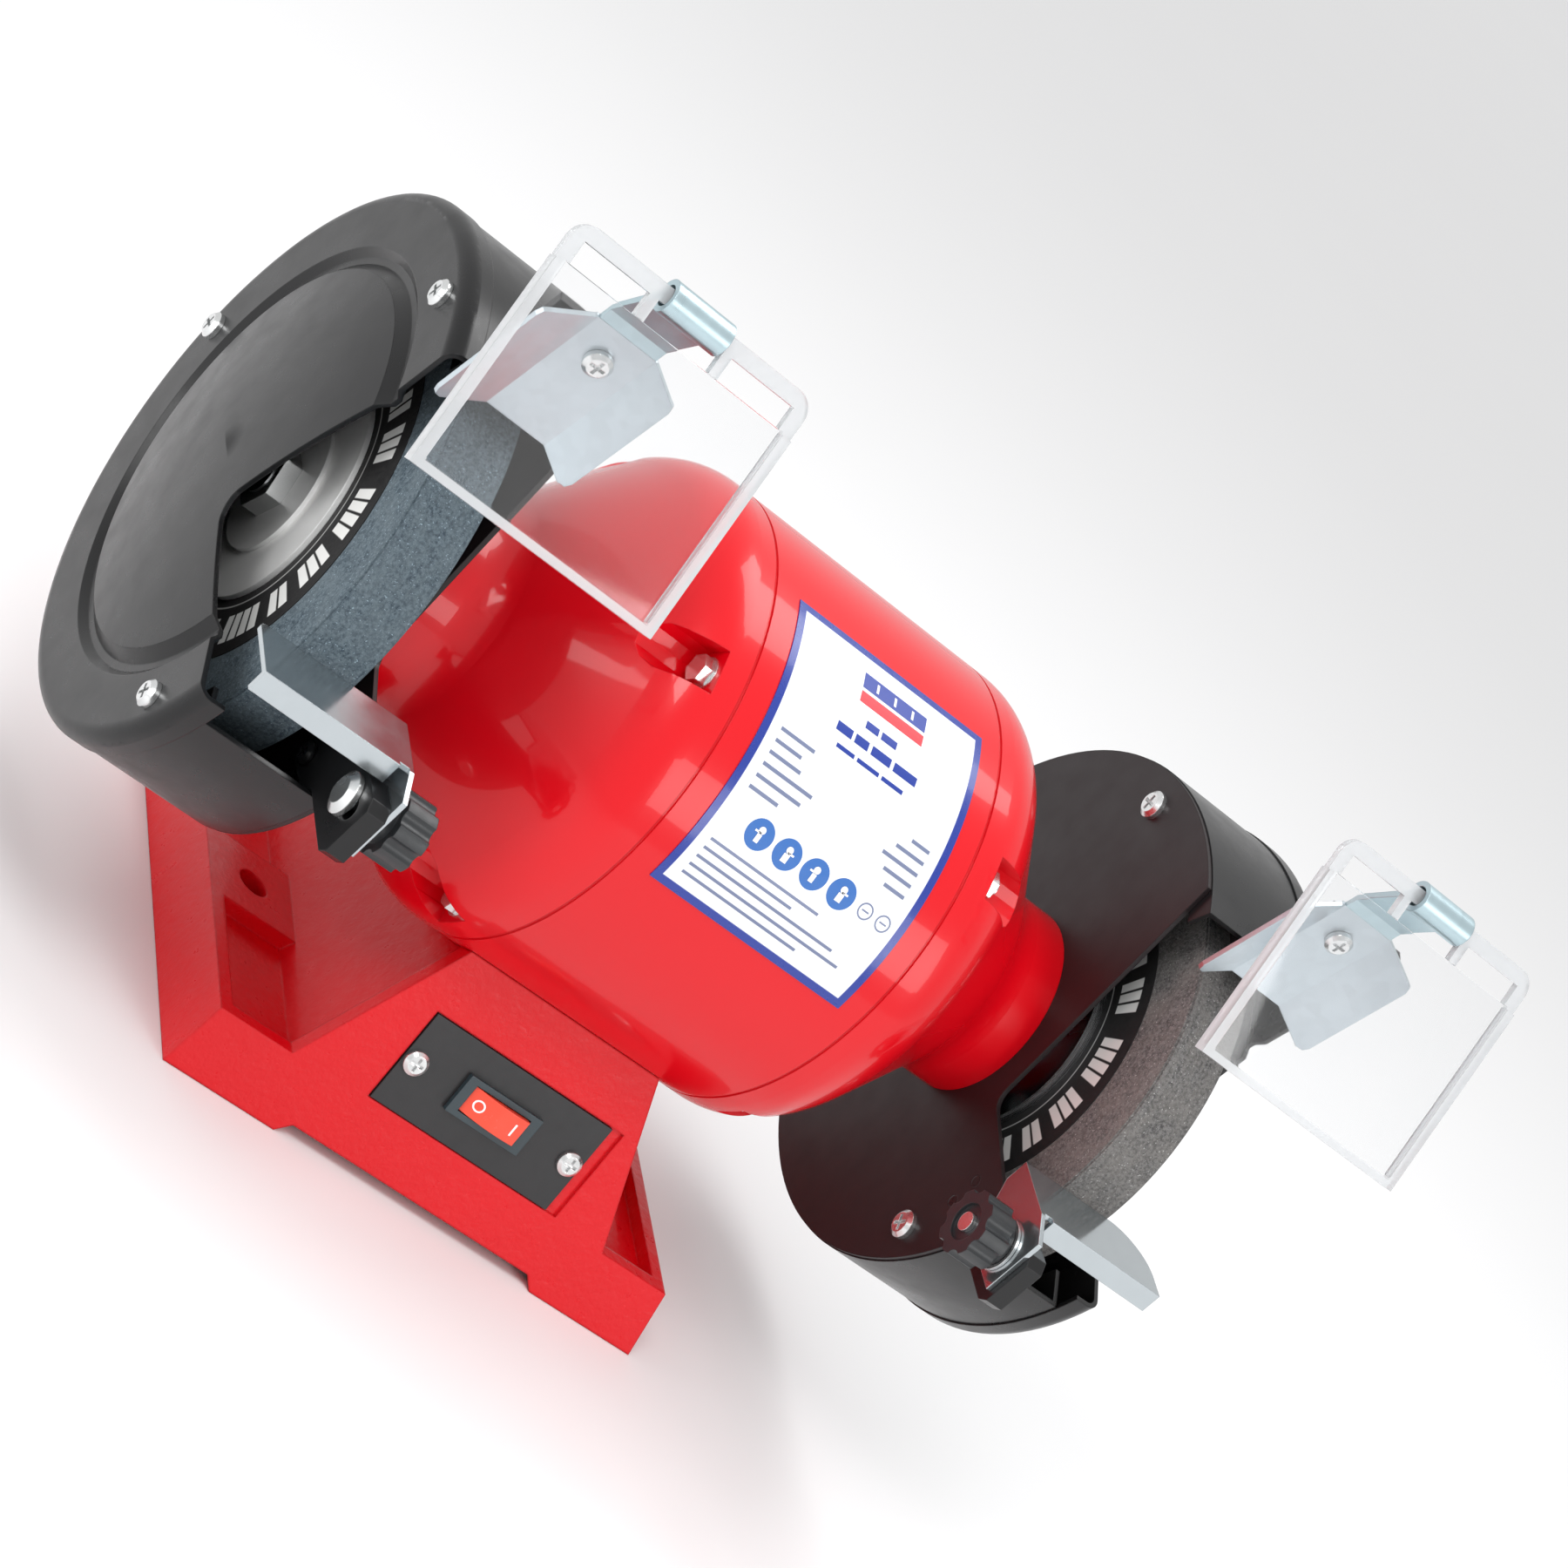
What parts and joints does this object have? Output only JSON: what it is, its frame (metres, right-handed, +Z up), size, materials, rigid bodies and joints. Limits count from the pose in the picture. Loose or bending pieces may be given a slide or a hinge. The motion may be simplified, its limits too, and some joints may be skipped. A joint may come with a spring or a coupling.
{
  "type": "bench grinder",
  "caption": "Bench grinder: a motor on a cast base drives a guarded wheel at each end, with tool rests, spark arresters and clear eye shields.",
  "frame": {"origin": "on the bench, midway between the two bench bolt holes", "axes": "+X along the shaft towards the right wheel, +Y away from the operator, +Z up from the bench"},
  "size_m": [0.3816, 0.2134, 0.2759],
  "materials": {
    "textured_red": "textured paint",
    "gloss_red": "gloss",
    "guard_black": "satin",
    "zinc_plate": "zinc plated",
    "screw_steel": "bright zinc",
    "bare_steel": "satin",
    "moulding": "satin",
    "rocker_plastic": "gloss",
    "label_film": "printed",
    "clear_sheet": "clear",
    "coarse_grit": "gritty",
    "fine_grit": "gritty",
    "label_black": "matte",
    "shaft_steel": "turned",
    "lamination_steel": "stacked",
    "winding": "varnished",
    "bearing_steel": "polished",
    "can_aluminium": "satin",
    "terminal_plastic": "satin"
  },
  "bodies": {
    "frame": {"base_casting": "textured_red", "base_plate": "bare_steel", "base_plate_screws": "screw_steel", "saddle_bolts": "screw_steel", "cable_gland": "moulding", "motor_housing": "gloss_red", "left_end_bell": "gloss_red", "right_end_bell": "gloss_red", "tie_bolts": "screw_steel", "tie_nuts": "screw_steel", "stator_core": "lamination_steel", "stator_windings": "winding", "bearings": "bearing_steel", "capacitor": "can_aluminium", "capacitor_clip": "zinc_plate", "terminal_block": "terminal_plastic", "rating_label": "label_film", "switch_plate": "moulding", "switch_body": "moulding", "switch_screws": "screw_steel", "left_guard_plate": "guard_black", "right_guard_plate": "guard_black", "left_guard_shroud": "guard_black", "right_guard_shroud": "guard_black", "left_guard_cover": "guard_black", "right_guard_cover": "guard_black", "guard_mount_screws": "screw_steel", "plate_screws": "screw_steel", "cover_screws": "screw_steel", "left_rest_bracket": "guard_black", "right_rest_bracket": "guard_black", "bracket_screws": "guard_black", "left_arrester_mount": "guard_black", "right_arrester_mount": "guard_black", "arrester_screws": "screw_steel"},
    "rotor": {"shaft": "shaft_steel", "rotor_core": "lamination_steel", "rotor_fan": "can_aluminium", "inner_flanges": "shaft_steel", "outer_flanges": "shaft_steel", "left_wheel": "coarse_grit", "right_wheel": "fine_grit", "wheel_labels": "label_black", "wheel_nuts": "screw_steel"},
    "rocker_body": {"rocker": "rocker_plastic"},
    "left_rest": {"left_tool_rest": "zinc_plate", "left_rest_bolt": "screw_steel"},
    "left_knob": {"left_rest_knob": "moulding"},
    "left_arrester": {"left_spark_arrester": "zinc_plate", "left_shield_bracket": "zinc_plate"},
    "left_shield": {"left_eye_shield": "clear_sheet"},
    "right_rest": {"right_tool_rest": "zinc_plate", "right_rest_bolt": "screw_steel"},
    "right_knob": {"right_rest_knob": "moulding"},
    "right_arrester": {"right_spark_arrester": "zinc_plate", "right_shield_bracket": "zinc_plate"},
    "right_shield": {"right_eye_shield": "clear_sheet"}
  },
  "joints": [
    {"name": "rotor_spin", "type": "hinge", "parent": "frame", "child": "rotor", "pos_m": [0, -0.016, 0.1355], "axis": [1, 0, 0], "continuous": true},
    {"name": "rocker_tilt", "type": "hinge", "parent": "frame", "child": "rocker_body", "pos_m": [0.0015, -0.06888, 0.03777], "axis": [0, 0.2588, 0.9659], "range_deg": [0, 16]},
    {"name": "left_rest_slide", "type": "slide", "parent": "frame", "child": "left_rest", "axis": [0, 1, 0], "range_m": [-0.006, 0.0015]},
    {"name": "left_knob_turn", "type": "hinge", "parent": "left_rest", "child": "left_knob", "pos_m": [-0.114, -0.1145, 0.117], "axis": [1, 0, 0], "continuous": true},
    {"name": "left_arrester_slide", "type": "slide", "parent": "frame", "child": "left_arrester", "axis": [0, -0.2504, 0.9681], "range_m": [-0.002, 0.002]},
    {"name": "left_shield_tilt", "type": "hinge", "parent": "left_arrester", "child": "left_shield", "pos_m": [-0.1493, -0.0935, 0.271], "axis": [-1, 0, 0], "range_deg": [-10, 60]},
    {"name": "right_rest_slide", "type": "slide", "parent": "frame", "child": "right_rest", "axis": [0, 1, 0], "range_m": [-0.006, 0.0015]},
    {"name": "right_knob_turn", "type": "hinge", "parent": "right_rest", "child": "right_knob", "pos_m": [0.114, -0.1145, 0.117], "axis": [1, 0, 0], "continuous": true},
    {"name": "right_arrester_slide", "type": "slide", "parent": "frame", "child": "right_arrester", "axis": [0, -0.2504, 0.9681], "range_m": [-0.002, 0.002]},
    {"name": "right_shield_tilt", "type": "hinge", "parent": "right_arrester", "child": "right_shield", "pos_m": [0.1493, -0.0935, 0.271], "axis": [-1, 0, 0], "range_deg": [-10, 60]}
  ]
}
